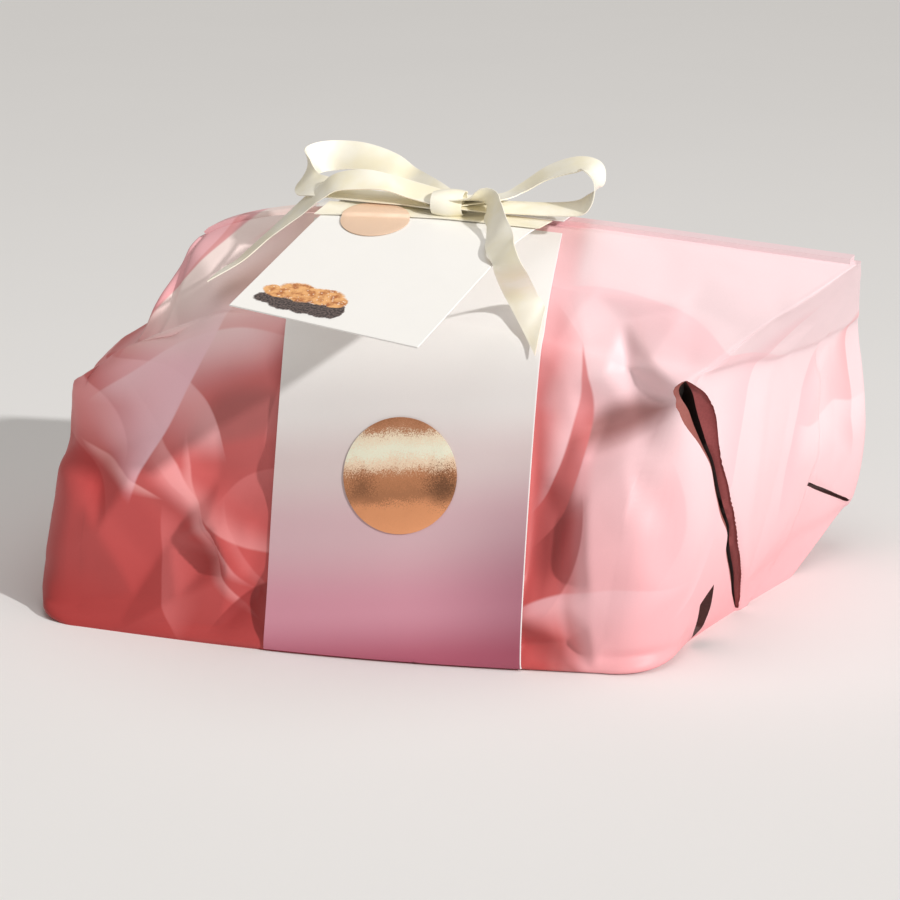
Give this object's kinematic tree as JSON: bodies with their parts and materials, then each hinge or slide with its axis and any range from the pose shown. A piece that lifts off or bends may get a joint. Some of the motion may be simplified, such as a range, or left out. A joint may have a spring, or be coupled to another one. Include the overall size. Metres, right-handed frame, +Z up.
{
  "type": "gift-wrapped festive loaf pack",
  "caption": "Shut gift pack for a dove-shaped Easter loaf: pleated pink paper wrap with a ridge seam and folded ends, printed band with a foil seal, hanging card and a ribbon bow",
  "frame": {"origin": "on the floor under the middle of the whole pack", "axes": "+X along the pack towards the end with the deeper fold, -Y the front with the seal, +Z up"},
  "size_m": [0.4234, 0.3394, 0.2477],
  "materials": {
    "wrap_paper": "satin printed paper",
    "band_paper": "satin printed paper",
    "card_stock": "matte card",
    "foil": "satin copper foil",
    "satin": "satin ribbon"
  },
  "bodies": {
    "root": {"wrap": "wrap_paper", "band": "band_paper", "seal_front": "foil", "card": "card_stock", "seal_card": "foil", "ribbon": "satin"}
  },
  "joints": []
}
